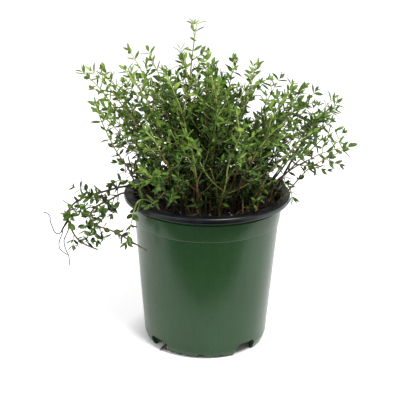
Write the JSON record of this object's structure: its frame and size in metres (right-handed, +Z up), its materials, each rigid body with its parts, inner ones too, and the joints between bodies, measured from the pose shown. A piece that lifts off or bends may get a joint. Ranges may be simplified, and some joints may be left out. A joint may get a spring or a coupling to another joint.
{
  "type": "potted thyme plant",
  "caption": "Bushy thyme plant with small paired leaves on fanned woody stems, growing in soil in a round tapered plastic nursery pot with a wide rim.",
  "frame": {"origin": "centre of the ring that the pot stands on, on the floor below the pot's axis", "axes": "+Z up along the pot's axis, -Y towards the viewer of the picture, +X to that viewer's right"},
  "size_m": [0.3017, 0.2066, 0.3271],
  "materials": {
    "pot_plastic": "satin green plastic, black over the rim and the inside",
    "potting_mix": "dark crumbly peat and bark mix with white perlite grains",
    "thyme_foliage": "living thyme: green leaves, light at the tips, on brown woody stems"
  },
  "bodies": {
    "root": {"pot": "pot_plastic", "soil": "potting_mix", "thyme_stem_01": "thyme_foliage", "thyme_stem_02": "thyme_foliage", "thyme_stem_03": "thyme_foliage", "thyme_stem_04": "thyme_foliage", "thyme_stem_05": "thyme_foliage", "thyme_stem_06": "thyme_foliage", "thyme_stem_07": "thyme_foliage", "thyme_stem_08": "thyme_foliage", "thyme_stem_09": "thyme_foliage", "thyme_stem_10": "thyme_foliage", "thyme_stem_11": "thyme_foliage", "thyme_stem_12": "thyme_foliage", "thyme_stem_13": "thyme_foliage", "thyme_stem_14": "thyme_foliage", "thyme_stem_15": "thyme_foliage", "thyme_stem_16": "thyme_foliage", "thyme_stem_17": "thyme_foliage", "thyme_stem_18": "thyme_foliage", "thyme_stem_19": "thyme_foliage", "thyme_stem_20": "thyme_foliage", "thyme_stem_21": "thyme_foliage", "thyme_stem_22": "thyme_foliage", "thyme_stem_23": "thyme_foliage", "thyme_stem_24": "thyme_foliage", "thyme_stem_25": "thyme_foliage", "thyme_stem_26": "thyme_foliage", "thyme_stem_27": "thyme_foliage", "thyme_stem_28": "thyme_foliage", "thyme_stem_29": "thyme_foliage", "thyme_stem_30": "thyme_foliage", "thyme_stem_31": "thyme_foliage", "thyme_stem_32": "thyme_foliage", "thyme_stem_33": "thyme_foliage", "thyme_stem_34": "thyme_foliage", "trailing_stem_1": "thyme_foliage", "trailing_stem_2": "thyme_foliage", "trailing_stem_3": "thyme_foliage"}
  },
  "joints": []
}
